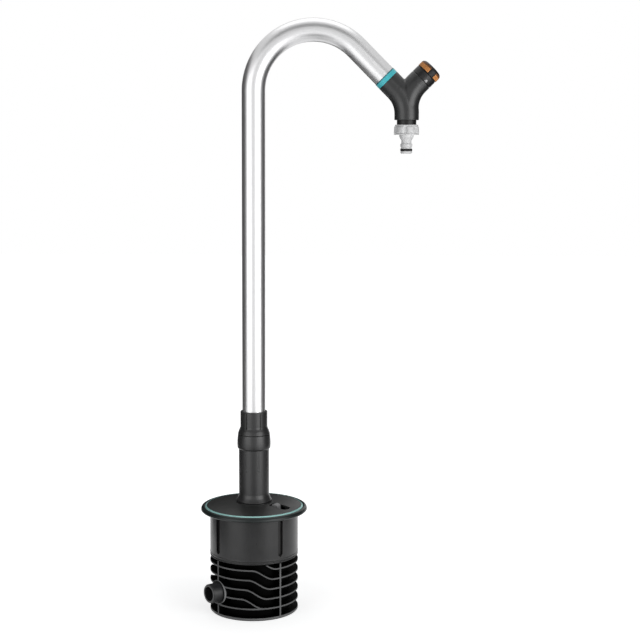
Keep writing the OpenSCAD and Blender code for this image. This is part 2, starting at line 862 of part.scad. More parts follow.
// Sleeve with the flared foot and shallow grip grooves
module lower_sleeve() color("#3a3a3a") {
  flare = foot_r - sleeve_r;
  profile = [[stem_r + run_gap, foot_z], [foot_r - 0.8, foot_z], [foot_r, foot_z + 0.8],
             [foot_r, foot_z + foot_h * 0.18], [foot_r - flare * 0.3, foot_z + foot_h * 0.34],
             [foot_r - flare * 0.65, foot_z + foot_h * 0.56], [foot_r - flare * 0.9, foot_z + foot_h * 0.8],
             [sleeve_r, foot_z + foot_h], [sleeve_r, sleeve_top_z], [neck_r, sleeve_top_z],
             [neck_r, sleeve_top_z + neck_h], [chamber_r, sleeve_top_z + neck_h],
             [chamber_r, tube_z - stem_flange_t], [stem_r + run_gap, tube_z - stem_flange_t]];
  groove_h = 25;
  groove_depth_r = 0.5;
  grip_groove_angle = -95;
  difference() {
    rotate_extrude()
      polygon(profile);
    around(4, grip_groove_angle)
      for (side = [-24, 24])
        rotate([0, 0, side]) {
          translate([sleeve_r - groove_depth_r, -1.2, sleeve_top_z - groove_h])
            cube([3, 2.4, groove_h + cut]);
          translate([sleeve_r - groove_depth_r, -1.8, sleeve_top_z - groove_h - 5])
            cube([3, 3.6, 1.6]);
        }
  }
}

// The bulge that holds the clamp nut
module socket_collar() color("#3a3a3a") {
  in_r = nut_spigot_r + fit_gap;
  profile = [[neck_r + fit_gap, sleeve_top_z], [sleeve_r, sleeve_top_z],
             [collar_r - 0.95, sleeve_top_z + 1], [collar_r - 0.35, sleeve_top_z + 2],
             [collar_r - 0.1, sleeve_top_z + 4.2], [collar_r, sleeve_top_z + 6.5],
             [collar_r - 0.05, sleeve_top_z + collar_h * 0.48],
             [collar_r - 0.25, sleeve_top_z + collar_h * 0.65],
             [collar_r - 0.6, sleeve_top_z + collar_h * 0.84],
             [collar_r - 1, collar_top_z], [in_r, collar_top_z],
             [in_r, sleeve_top_z + neck_h + 0.2], [neck_r + fit_gap, sleeve_top_z + neck_h + 0.2]];
  rotate_extrude()
    polygon(profile);
}

// Nut with a fluted grip and a flared skirt, screwed into the collar
module clamp_nut() color("#404040") {
  flare_r = collar_r - 1;
  nut_bore_r = tube_r + 0.15;
  skirt = [[nut_spigot_r, collar_top_z - nut_spigot_h], [nut_spigot_r, collar_top_z],
           [flare_r - seam_depth, collar_top_z], [flare_r - seam_depth, collar_top_z + seam_h],
           [flare_r - 0.3, collar_top_z + seam_h], [flare_r, collar_top_z + seam_h + 0.4],
           [flare_r - (flare_r - nut_r) * 0.12, collar_top_z + 2.6],
           [flare_r - (flare_r - nut_r) * 0.42, collar_top_z + 5.8],
           [flare_r - (flare_r - nut_r) * 0.84, collar_top_z + 9],
           [nut_r, collar_top_z + 11.4], [nut_r, nut_top_z - 0.8], [nut_r - 0.6, nut_top_z],
           [nut_bore_r, nut_top_z], [nut_bore_r, collar_top_z + 10],
           [chamber_r - 0.1, collar_top_z + 6], [chamber_r - 0.1, collar_top_z - nut_spigot_h]];
  flute_z = collar_top_z + 9;
  flute_h = nut_h - 11;
  difference() {
    rotate_extrude()
      polygon(skirt);
    around(flute_count, -60)
      translate([nut_r - flute_depth, 0, 0])
        rotate([90, 0, 90])
          linear_extrude(4)
            slot_outline(flute_w, flute_z, flute_h);
  }
}

// Upright slot with round ends
module slot_outline(w, z, h) {
  translate([-w / 2, z + w / 2])
    square([w, h - w]);
  translate([0, z + w / 2])
    circle(d = w, $fn = 32);
  translate([0, z + h - w / 2])
    circle(d = w, $fn = 32);
}

// Split ring, squeezed on the tube by the nut's cone
module collet_ring() color("#b8b8b8") {
  low_z = tube_z + seal_h + 0.4;
  high_z = collar_top_z + 6;
  difference() {
    rotate_extrude()
      polygon([[collet_in_r, low_z], [collet_r, low_z], [collet_r, high_z - 0.6],
               [tube_r + 0.6, high_z + 2.6], [collet_in_r, high_z + 2.6]]);
    around(4, 45)
      translate([0, -0.8, high_z - 16])
        cube([collet_r + cut, 1.6, 20]);
    translate([0, -0.8, low_z - cut])
      cube([collet_r + cut, 1.6, high_z - low_z + 6]);
  }
}

module tube_seal() color("#101010")
  ring(chamber_r - 0.05, tube_r + run_gap, tube_z + 0.2, seal_h);

module tube_outline() {
  difference() {
    circle(tube_r);
    circle(tube_in_r);
  }
}

// Bend, straight leg and straight pipe
module spout_tube() color("#e0e0e2") {
  translate([bend_r, 0, bend_z])
    rotate([90, 0, 0])
      rotate([0, 0, arm_tilt]) {
        rotate_extrude(angle = bend_angle)
          translate([bend_r, 0])
            tube_outline();
        translate([bend_r, 0, 0])
          rotate([90, 0, 0])
            linear_extrude(leg_len - tube_end)
              tube_outline();
        rotate([0, 0, bend_angle])
          translate([bend_r, 0, 0])
            rotate([-90, 0, 0])
              linear_extrude(bend_z - tube_z)
                tube_outline();
      }
}

module spacer_ring() color("#51bbc5")
  at_inlet_arm()
    ring(housing_r - 0.1, spigot_r + fit_gap, inlet_arm_len, spacer_w);

// Solid arm: up from the outlet, round the bend and out, with a thinner end piece
module solid_arm(r, down, out, end_r, end_out) {
  translate([-housing_bend_r, 0, -elbow_rise])
    rotate([90, 0, 0]) {
      rotate_extrude(angle = arm_tilt)
        translate([housing_bend_r, 0])
          circle(r + bend_proud);
      translate([housing_bend_r, bend_lap, 0])
        rotate([90, 0, 0])
          cylinder(r = r, h = down - elbow_rise + bend_lap);
      rotate([0, 0, arm_tilt])
        translate([housing_bend_r, -bend_lap, 0])
          rotate([-90, 0, 0]) {
            cylinder(r = r, h = out - elbow_rise + bend_lap);
            cylinder(r = end_r, h = end_out - elbow_rise + bend_lap);
          }
    }
}

module tap_housing() color("#3c3d3e") {
  difference() {
    union() {
      translate([outlet_x, 0, mid_z - corner_drop])
        solid_arm(housing_r, outlet_len - corner_drop, inlet_arm_len + corner_reach,
                  spigot_r, tube_end + spigot_len + corner_reach);
      translate([outlet_x, 0, mid_z + corner_drop])
        mirror([1, 0, 0])
          solid_arm(valve_arm_r, outlet_len + corner_drop - 5, valve_arm_len - corner_reach,
                    valve_arm_r - 2, valve_arm_len - corner_reach - 1);
    }
    at_inlet_arm() {
      disc(inlet_bore_r, elbow_rise + 1, tube_end + spigot_len);
      translate([side_bore_offset, 0, 0])
        cylinder(r = side_bore_r, h = elbow_rise + 5);
      ring(spigot_r + cut, spigot_r - seal_depth, spigot_groove, seal_w);
    }
    at_valve_arm() {
      disc(chamber_bore_r, seat_t, valve_arm_len);
      disc(seat_hole_r, -6, seat_t + 6 + cut);
    }
    translate([mid_x, 0, mid_z])
      seat_passage();
    translate([outlet_x, 0, outlet_z - cut]) {
      cylinder(r = outlet_bore_r, h = outlet_len - 13);
      cylinder(r = insert_r, h = insert_h + cut);
    }
  }
}

// Way from the valve seat down to the outlet's bore
module seat_passage() {
  drop = 6 * sin(arm_tilt);
  translate([-drop, 0, -drop])
    sphere(r = seat_hole_r + 0.3);
  translate([-drop / 2, 0, -drop - 13])
    cylinder(r = seat_hole_r, h = 13);
}

module spigot_seal() color("#101010")
  at_inlet_arm()
    ring(spigot_r, spigot_r - seal_depth, spigot_groove + 0.1, seal_w - 0.2);

module hex_prism(flats, z, h) {
  translate([0, 0, z])
    cylinder(r = flats / sqrt(3), h = h, $fn = 6);
}

module bonnet() color("#333435")
  at_valve_arm()
    difference() {
      union() {
        disc(valve_arm_r - 0.1, valve_arm_len + bonnet_notch, bonnet_h - 0.6 - bonnet_notch);
        disc(valve_arm_r - 1.2, valve_arm_len, bonnet_h);
        disc(chamber_bore_r - run_gap, guide_z, valve_arm_len - guide_z);
      }
      hex_prism(guide_flats, guide_z - cut, cavity_z - guide_z + cut + 0.1);
      disc(cavity_r, cavity_z, cavity_h);
      disc(spindle_r + run_gap, cavity_z, bonnet_h);
      ring(spindle_r + seal_depth, spindle_r, bonnet_top - 5, seal_w);
      ring(chamber_bore_r + cut, chamber_bore_r - seal_depth, valve_arm_len - 6, seal_w);
    }

module bonnet_seal() color("#101010")
  at_valve_arm()
    ring(chamber_bore_r - run_gap, chamber_bore_r - seal_depth, valve_arm_len - 5.9, seal_w - 0.2);

module spindle_seal() color("#101010")
  at_valve_arm()
    ring(spindle_r + seal_depth - 0.1, spindle_r + run_gap, bonnet_top - 4.9, seal_w - 0.2);

module spindle() color("#b59a5b")
  at_valve_arm()
    difference() {
      union() {
        disc(stud_r, stud_z, spindle_collar_z - stud_z);
        disc(spindle_collar_r, spindle_collar_z, spindle_collar_h);
        disc(spindle_r, spindle_collar_z, spindle_top - spindle_collar_z);
      }
      disc(screw_r + fit_gap, spindle_top - 8, 9);
    }

// Knob: a domed cup with a hub, and a recess for each grip
module knob() color("#1a1a1a")
  at_valve_arm()
    difference() {
      rotate_extrude()
        polygon([[0, knob_z], [knob_r - 0.4, knob_z], [knob_r, knob_z + 0.4],
                 [knob_r, knob_top - 4.2], [knob_r - 0.7, knob_top - 2.6],
                 [knob_r - 2.2, knob_top - 1.2], [knob_top_d / 2, knob_top - 0.4],
                 [cap_r + 0.6, knob_top], [0, knob_top]]);
      ring(knob_r - grip_t - knob_wall, knob_hub_r, knob_z - cut, knob_h - 4.2 + cut);
      disc(spindle_r + 0.02, knob_z - cut, spindle_top - knob_z + cut);
      disc(screw_r + fit_gap, knob_z, knob_h);
      disc(screw_head_r + fit_gap, knob_top - cap_t - 2.2, 3);
      disc(cap_r + fit_gap, knob_top - cap_t, cap_t + cut);
      around(grip_count, grip_first_angle)
        sector(grip_angle + 0.6)
          translate([knob_r - grip_t, grip_z - 0.1])
            square([grip_t + cut, grip_h + 0.2]);
    }

// A profile turned through an angle, half of it to each side
module sector(angle) {
  rotate([0, 0, -angle / 2])
    rotate_extrude(angle = angle)
      children();
}

// Inlays that follow the knob's side and the start of its dome
module knob_grips() color("#b0794a")
  at_valve_arm()
    around(grip_count, grip_first_angle)
      sector(grip_angle)
        polygon([[knob_r - grip_t, grip_z], [grip_r, grip_z], [grip_r, grip_z + grip_h - grip_slope_h],
                 [knob_r - 0.4, grip_z + grip_h], [knob_r - grip_t, grip_z + grip_h]]);

module knob_screw() color("silver")
  at_valve_arm()
    translate([0, 0, knob_top - cap_t - 2.2])
      difference() {
        union() {
          translate([0, 0, -7])
            cylinder(r = screw_r, h = 7);
          cylinder(r = screw_head_r, h = screw_head_t);
        }
        translate([0, 0, screw_head_t - 1])
          cylinder(r = 1.2, h = 2, $fn = 6);
      }

module knob_cap() color("#1a1a1a")
  at_valve_arm()
    disc(cap_r, knob_top - cap_t, cap_t);

// Plug that the spindle's thread lifts and the bonnet's flats keep from turning
module valve_plug() color("#c8c8c8")
  at_valve_arm()
    difference() {
      union() {
        hex_prism(plug_flats, plug_z, plug_h);
        disc(plug_seal_r, plug_z, 2);
      }
      disc(stud_r + run_gap, stud_z - plug_lead - 1, plug_z + plug_h);
    }

module plug_seal() color("#101010")
  at_valve_arm()
    disc(plug_seal_r, seat_t + run_gap, plug_seal_t - run_gap);

module outlet_thread() color("#0c0c0c")
  translate([outlet_x, 0, 0])
    difference() {
      union() {
        disc(thread_r, thread_end_z, thread_len);
        disc(insert_r - run_gap, outlet_z, insert_h);
      }
      disc(outlet_bore_r, thread_end_z - cut, thread_len + insert_h + 2 * cut);
    }

// Lobed nut and quick-coupling nipple in one moulding
module tap_connector() color("#d0d2d4") {
  lobe_top = connector_top_z - 0.8;
  lobe_bottom = nut_bottom_z;
  n = nut_bottom_z;
  groove_top = nipple_groove_z + nipple_groove_h;
  nipple = [[0, n + 1], [9.7, n + 1], [9.7, n - 2], [9.2, n - 3.6], [6.9, n - 7.2], [6.8, n - 11.6],
            [nipple_r - 0.4, n - 11.9], [nipple_r, n - 12.4], [nipple_r, n - 16],
            [nipple_r - 0.4, n - 16.4], [nipple_r - 1, n - 16.8], [nipple_r - 1, n - 17.6],
            [nipple_r - 0.2, n - 18], [nipple_r - 0.2, groove_top], [nipple_groove_r, groove_top],
            [nipple_groove_r, nipple_groove_z], [nipple_r - 0.2, nipple_groove_z],
            [nipple_r - 0.4, nipple_tip_z + 1.2], [nipple_r - 1.4, nipple_tip_z], [0, nipple_tip_z]];
  translate([outlet_x, 0, 0])
    difference() {
      union() {
        disc(barrel_r, nut_bottom_z, connector_top_z - nut_bottom_z);
        around(lobe_count, lobe_first_angle)
          intersection() {
            translate([0, 0, lobe_bottom])
              cylinder(r1 = lobe_r + lobe_flare, r2 = lobe_r, h = lobe_top - lobe_bottom);
            rotate([0, 0, -21])
              translate([0, 0, lobe_bottom])
                rotate_extrude(angle = 42)
                  square([lobe_r + 2, lobe_top - lobe_bottom]);
          }
        rotate_extrude()
          polygon(nipple);
      }
      disc(thread_r + fit_gap, thread_end_z - washer_t, thread_len + washer_t);
      disc(nipple_bore_d / 2, nipple_tip_z - cut, nipple_len + floor_nut_t + 2 * cut);
    }
}

module connector_washer() color("#101010")
  translate([outlet_x, 0, 0])
    ring(thread_r, outlet_bore_r - 1, thread_end_z - washer_t, washer_t);

module nipple_seal() color("#0a0a0a")
  translate([outlet_x, 0, 0])
    rotate_extrude()
      translate([nipple_groove_r, nipple_groove_z + 0.1])
        square([nipple_r + 0.15 - nipple_groove_r, nipple_groove_h - 0.2]);

finned_pot();
upper_shell();
lid_flange();
lid_line_ring();
lid_plate();
inlet_body();
receiver();
receiver_gasket();
filter_sieve();
poppet();
poppet_seal();
poppet_spring();
base_screws();
lid_screws();
latch_spring();
lid_latch();
stem();
stem_seals();
lower_sleeve();
socket_collar();
clamp_nut();
collet_ring();
tube_seal();
spout_tube();
spacer_ring();
tap_housing();
spigot_seal();
bonnet();
bonnet_seal();
outlet_thread();
tap_connector();
connector_washer();
nipple_seal();
knob();
knob_grips();
spindle();
spindle_seal();
knob_screw();
knob_cap();
valve_plug();
plug_seal();
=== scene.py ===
import bmesh
import bpy
import json
import math
from mathutils import Matrix, Vector


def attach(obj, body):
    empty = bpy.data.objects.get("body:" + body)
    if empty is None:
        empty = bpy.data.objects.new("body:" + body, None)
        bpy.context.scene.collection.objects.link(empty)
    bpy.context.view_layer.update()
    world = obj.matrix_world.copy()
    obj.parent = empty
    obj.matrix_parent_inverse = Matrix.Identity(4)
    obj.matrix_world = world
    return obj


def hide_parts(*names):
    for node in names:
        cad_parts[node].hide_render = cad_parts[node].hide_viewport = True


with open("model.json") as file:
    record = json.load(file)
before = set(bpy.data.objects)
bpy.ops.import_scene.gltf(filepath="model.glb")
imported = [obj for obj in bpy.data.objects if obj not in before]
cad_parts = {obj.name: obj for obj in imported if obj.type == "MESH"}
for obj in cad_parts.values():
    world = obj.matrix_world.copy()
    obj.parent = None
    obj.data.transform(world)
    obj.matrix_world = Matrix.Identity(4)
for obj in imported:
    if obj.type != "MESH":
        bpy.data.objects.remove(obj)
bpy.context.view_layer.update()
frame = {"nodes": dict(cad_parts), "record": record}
nodes = frame["nodes"]

# Sizes of the box, repeated from the part, in metres
LID_EDGE_Z = 0.1493
SHELL_R = 0.0616
# Depth below the shell's face where the grooves' painted shade starts
GROOVE_SHADE_DEPTH = 0.0016
FIN_R = 0.0617
# Depth of the fins' rims that keep a light grey as painted highlight
FIN_HIGHLIGHT_RIM = 0.0005
PORT_ANGLE = math.radians(-141.5)
PORT_FACE_R = 0.0620
PORT_BOSS_R = 0.0164
# Width of the port boss's rim that keeps the pot's light grey as painted edge highlight
PORT_BOSS_HIGHLIGHT_RIM = 0.0007
PORT_Z = 0.0345

# Sizes of the head, repeated from the part, in metres, and the first grip's angle in degrees
MID = Vector((0.203935, 0.0, 0.716525))
ARM_TILT = math.radians(45)
OUTLET_X = 0.207935
SPACER_END = 0.0382
# Width of the spacer's band next to the tube, painted darker teal as shade
SPACER_SHADE_BAND = 0.0017
BONNET_R = 0.0160
KNOB_Z = 0.0428
GRIP_OUT_R = 0.0165
GRIP_IN_R = 0.0146
GRIP_Z = KNOB_Z + 0.0009
GRIP_H = 0.0084
GRIP_SLOPE = 0.0026
GRIP_COUNT = 3
GRIP_SPAN = math.radians(86)
GRIP_FIRST = -14.5
CONNECTOR_TOP = 0.678725
NUT_BOTTOM = 0.665025
TIP_Z = 0.639625
SEAL_Z = 0.644725

# Frame of the valve arm: local Z leaves the housing along the arm
VALVE_FRAME = Matrix.Translation(MID) @ Matrix.Rotation(ARM_TILT, 4, "Y")

# Camera: place in metres, angles in degrees, lens and sensor in millimetres
CAMERA_X = 0.0915
CAMERA_Y = -1.974
CAMERA_RISE = 0.5143
CAMERA_TILT = 7.3
CAMERA_ROLL = 0.245
LENS = 81.0
SENSOR = 36
CLIP_END = 50


def make_camera():
    cam = bpy.data.cameras.new("camera")
    cam.lens = LENS
    cam.sensor_width = SENSOR
    cam.clip_end = CLIP_END
    cam.dof.use_dof = False
    obj = bpy.data.objects.new("camera", cam)
    obj.location = (CAMERA_X, CAMERA_Y, LID_EDGE_Z + CAMERA_RISE)
    pitch = Matrix.Rotation(math.radians(90 - CAMERA_TILT), 3, "X")
    roll = Matrix.Rotation(math.radians(CAMERA_ROLL), 3, "Z")
    obj.rotation_euler = (pitch @ roll).to_euler()
    bpy.context.collection.objects.link(obj)
    bpy.context.scene.camera = obj


# Stage: the room's level, and the floor's glow near the object and far from it
ROOM_LEVEL = 0.16
ROOM_COLOR = (0.95, 0.975, 1, 1)
WHITE = (1, 1, 1, 1)
FLOOR_SIZE = 6.0
FLOOR_COLOR = (0.8, 0.8, 0.8, 1)
FLOOR_NEAR = 0.68
FLOOR_NEAR_R = 0.12
FLOOR_FAR = 1.0
FLOOR_FAR_R = 0.6
BOX_TARGET = (0.05, 0, 0.52)

# Softboxes: name, place, target, width, height, watts
SOFTBOXES = [
    ("softbox_left", (-0.98, -1.15, 0.52), BOX_TARGET, 1.1, 1.02, 6.4),
    ("softbox_right", (1.15, -1.1, 0.52), BOX_TARGET, 1.15, 1.02, 13),
    ("softbox_top", (0.1, 0.4, 2.2), (0.1, 0, 0.5), 1.8, 1.3, 7.5),
]

# Dark flags: name, place, target, width, height, level
FLAGS = [
    ("flag_left", (-0.78, 0.35, 0.62), (0, 0, 0.62), 1.3, 1.22, 0.1),
    ("flag_right", (0.95, 0.4, 0.62), (0.1, 0, 0.62), 1.35, 1.22, 0.1),
    ("flag_back", (-0.3, 1.0, 0.42), (-0.3, 0, 0.42), 0.84, 0.8, 0.02),
    ("flag_above", (0.1, -1.5, 2.15), (0.1, 0, 0.8), 3.0, 1.0, 0.3),
    ("flag_table", (0.02, -0.6, 0.004), (0.02, -0.6, -1), 0.42, 0.6, 0.3),
    ("flag_table_left", (-0.6, 0.2, 0.004), (-0.6, 0.2, -1), 0.42, 0.96, 0.04),
    ("flag_table_right", (0.8, 0.2, 0.004), (0.8, 0.2, -1), 0.45, 0.96, 0.04),
]


def place_towards(obj, place, target):
    obj.location = place
    aim = Vector(target) - Vector(place)
    obj.rotation_euler = aim.to_track_quat("-Z", "Y").to_euler()
    bpy.context.collection.objects.link(obj)


def make_light(name, place, target, width, height, watts):
    light = bpy.data.lights.new(name, "AREA")
    light.shape = "RECTANGLE"
    light.size = width
    light.size_y = height
    light.energy = watts
    obj = bpy.data.objects.new(name, light)
    obj.visible_camera = False
    place_towards(obj, place, target)


def flat_mesh(name, half_x, half_y):
    """One upward face round the origin."""
    mesh = bpy.data.meshes.new(name)
    corners = [(-half_x, -half_y, 0), (half_x, -half_y, 0), (half_x, half_y, 0), (-half_x, half_y, 0)]
    mesh.from_pydata(corners, [], [(0, 1, 2, 3)])
    return mesh


def empty_material(name):
    """A material with nothing but its output."""
    mat = bpy.data.materials.new(name)
    mat.use_nodes = True
    tree = mat.node_tree
    tree.nodes.clear()
    return mat, tree, tree.nodes.new("ShaderNodeOutputMaterial")


def seen_rays(tree):
    """1 for camera, glossy and transmission rays, 0 for the rest."""
    path = tree.nodes.new("ShaderNodeLightPath")
    first = tree.nodes.new("ShaderNodeMath")
    first.operation = "ADD"
    second = tree.nodes.new("ShaderNodeMath")
    second.operation = "ADD"
    second.use_clamp = True
    tree.links.new(path.outputs["Is Camera Ray"], first.inputs[0])
    tree.links.new(path.outputs["Is Glossy Ray"], first.inputs[1])
    tree.links.new(first.outputs[0], second.inputs[0])
    tree.links.new(path.outputs["Is Transmission Ray"], second.inputs[1])
    return second.outputs[0]


def make_world():
    """White where it is seen, and a dim room where it lights the object."""
    world = bpy.data.worlds.new("studio")
    bpy.context.scene.world = world
    world.use_nodes = True
    tree = world.node_tree
    tree.nodes.clear()
    out = tree.nodes.new("ShaderNodeOutputWorld")
    mix = tree.nodes.new("ShaderNodeMixShader")
    white = tree.nodes.new("ShaderNodeBackground")
    white.inputs["Color"].default_value = WHITE
    white.inputs["Strength"].default_value = 1.0
    room = tree.nodes.new("ShaderNodeBackground")
    room.inputs["Color"].default_value = ROOM_COLOR
    room.inputs["Strength"].default_value = ROOM_LEVEL
    tree.links.new(seen_rays(tree), mix.inputs["Fac"])
    tree.links.new(room.outputs[0], mix.inputs[1])
    tree.links.new(white.outputs[0], mix.inputs[2])
    tree.links.new(mix.outputs[0], out.inputs["Surface"])


def make_floor():
    """Pale floor: it takes the shadow near the object and turns white further out."""
    mesh = flat_mesh("floor", FLOOR_SIZE, FLOOR_SIZE)
    floor = bpy.data.objects.new("floor", mesh)
    bpy.context.collection.objects.link(floor)
    mat, tree, out = empty_material("floor")
    add = tree.nodes.new("ShaderNodeAddShader")
    matte = tree.nodes.new("ShaderNodeBsdfDiffuse")
    matte.inputs["Color"].default_value = FLOOR_COLOR
    glow = tree.nodes.new("ShaderNodeEmission")
    coord = tree.nodes.new("ShaderNodeTexCoord")
    length = tree.nodes.new("ShaderNodeVectorMath")
    length.operation = "LENGTH"
    lift = tree.nodes.new("ShaderNodeMath")
    lift.operation = "MULTIPLY"
    tree.links.new(coord.outputs["Object"], length.inputs[0])
    reach = add_range(tree, length.outputs["Value"], FLOOR_NEAR, FLOOR_FAR, FLOOR_NEAR_R, FLOOR_FAR_R)
    tree.links.new(reach, lift.inputs[0])
    tree.links.new(seen_rays(tree), lift.inputs[1])
    tree.links.new(lift.outputs[0], glow.inputs["Strength"])
    tree.links.new(matte.outputs[0], add.inputs[0])
    tree.links.new(glow.outputs[0], add.inputs[1])
    tree.links.new(add.outputs[0], out.inputs["Surface"])
    mesh.materials.append(mat)


def make_flag(name, place, target, width, height, level):
    """A dark studio flag, seen only in reflections."""
    mesh = flat_mesh(name, width / 2, height / 2)
    obj = bpy.data.objects.new(name, mesh)
    mat, tree, out = empty_material(name)
    glow = tree.nodes.new("ShaderNodeEmission")
    glow.inputs["Strength"].default_value = level
    tree.links.new(glow.outputs[0], out.inputs["Surface"])
    mesh.materials.append(mat)
    obj.visible_camera = False
    obj.visible_diffuse = False
    obj.visible_transmission = False
    obj.visible_shadow = False
    place_towards(obj, place, target)


# Materials: each noise has its scale per metre and its detail, and depths and widths are in metres
MATERIALS = {}
CLOUDS = (38, 4)
STREAKS = (120, 5)
GRAIN = (2600, 2)
GRAIN_DEPTH = 0.0002
GLOSS_SPREAD = 0.06
LINES = (420, 6)
LINE_ROUGH = 0.6
LINE_DARKER = 0.95
LINE_RAMP = (0.35, 0.65)
LINE_DEPTH = 0.0001
SHEEN = (22, 3)
INNER_FADE = 0.0008
BAND_FADE = 0.0004
BOSS_FADE = 0.0003
EDGE_GAIN = 3.0
BEVEL_SAMPLES = 4
THIN_EDGE = 0.0004
EDGE = 0.0005
WIDE_EDGE = 0.0006


def grey(level):
    return (level, level, level)


def node_material(name):
    mat = bpy.data.materials.new(name)
    mat.use_nodes = True
    MATERIALS[name] = mat
    return mat.node_tree, mat.node_tree.nodes["Principled BSDF"]


def add_noise(tree, scale, detail, stretch=(1, 1, 1), rough=0.5):
    coord = tree.nodes.new("ShaderNodeTexCoord")
    mapping = tree.nodes.new("ShaderNodeMapping")
    mapping.inputs["Scale"].default_value = stretch
    tex = tree.nodes.new("ShaderNodeTexNoise")
    tex.inputs["Scale"].default_value = scale
    tex.inputs["Detail"].default_value = detail
    tex.inputs["Roughness"].default_value = rough
    tree.links.new(coord.outputs["Object"], mapping.inputs["Vector"])
    tree.links.new(mapping.outputs["Vector"], tex.inputs["Vector"])
    return tex.outputs["Fac"]


def add_ramp(tree, source, low, high, start=0.3, end=0.7):
    ramp = tree.nodes.new("ShaderNodeValToRGB")
    ramp.color_ramp.elements[0].position = start
    ramp.color_ramp.elements[1].position = end
    ramp.color_ramp.elements[0].color = (*low, 1)
    ramp.color_ramp.elements[1].color = (*high, 1)
    tree.links.new(source, ramp.inputs["Fac"])
    return ramp.outputs["Color"]


def add_range(tree, source, low, high, start=0.0, end=1.0):
    """Low at the start of the source's range, high at its end."""
    span = tree.nodes.new("ShaderNodeMapRange")
    span.inputs["From Min"].default_value = start
    span.inputs["From Max"].default_value = end
    span.inputs["To Min"].default_value = low
    span.inputs["To Max"].default_value = high
    tree.links.new(source, span.inputs["Value"])
    return span.outputs["Result"]


def add_mix(tree, mask, base, color):
    """Base where the mask is 0, the given colour where it is 1."""
    mix = tree.nodes.new("ShaderNodeMix")
    mix.data_type = "RGBA"
    mix.inputs["B"].default_value = (*color, 1)
    tree.links.new(mask, mix.inputs["Factor"])
    tree.links.new(base, mix.inputs["A"])
    return mix.outputs["Result"]


def add_bump(tree, shader, height, strength, depth, normal=None):
    bump = tree.nodes.new("ShaderNodeBump")
    bump.inputs["Strength"].default_value = strength
    bump.inputs["Distance"].default_value = depth
    tree.links.new(height, bump.inputs["Height"])
    if normal:
        tree.links.new(normal, bump.inputs["Normal"])
    tree.links.new(bump.outputs["Normal"], shader.inputs["Normal"])


def edge_mask(tree, radius):
    """White where the surface turns sharply, from the difference between two normals."""
    bevel = tree.nodes.new("ShaderNodeBevel")
    bevel.inputs["Radius"].default_value = radius
    bevel.samples = BEVEL_SAMPLES
    geo = tree.nodes.new("ShaderNodeNewGeometry")
    dot = tree.nodes.new("ShaderNodeVectorMath")
    dot.operation = "DOT_PRODUCT"
    tree.links.new(bevel.outputs["Normal"], dot.inputs[0])
    tree.links.new(geo.outputs["Normal"], dot.inputs[1])
    mask = add_range(tree, dot.outputs["Value"], 0, 1, 1.0, 1.0 - 1.0 / EDGE_GAIN)
    return mask, bevel.outputs["Normal"]


def axis_radius(tree):
    """Distance from the box's upright axis."""
    coord = tree.nodes.new("ShaderNodeTexCoord")
    flat = tree.nodes.new("ShaderNodeVectorMath")
    flat.operation = "MULTIPLY"
    flat.inputs[1].default_value = (1, 1, 0)
    length = tree.nodes.new("ShaderNodeVectorMath")
    length.operation = "LENGTH"
    tree.links.new(coord.outputs["Object"], flat.inputs[0])
    tree.links.new(flat.outputs[0], length.inputs[0])
    return length.outputs["Value"]


def arm_distance(tree, arm):
    """Distance from the arms' crossing along the inlet or the valve arm."""
    coord = tree.nodes.new("ShaderNodeTexCoord")
    shift = tree.nodes.new("ShaderNodeVectorMath")
    shift.operation = "SUBTRACT"
    shift.inputs[1].default_value = tuple(MID)
    dot = tree.nodes.new("ShaderNodeVectorMath")
    dot.operation = "DOT_PRODUCT"
    side = -1 if arm == "inlet" else 1
    dot.inputs[1].default_value = (side * math.sin(ARM_TILT), 0, math.cos(ARM_TILT))
    tree.links.new(coord.outputs["Object"], shift.inputs[0])
    tree.links.new(shift.outputs[0], dot.inputs[0])
    return dot.outputs["Value"]


def port_distance(tree):
    """Distance from the middle of the face of the inlet port's boss."""
    coord = tree.nodes.new("ShaderNodeTexCoord")
    span = tree.nodes.new("ShaderNodeVectorMath")
    span.operation = "DISTANCE"
    x = PORT_FACE_R * math.cos(PORT_ANGLE)
    y = PORT_FACE_R * math.sin(PORT_ANGLE)
    span.inputs[1].default_value = (x, y, PORT_Z)
    tree.links.new(coord.outputs["Object"], span.inputs[0])
    return span.outputs["Value"]


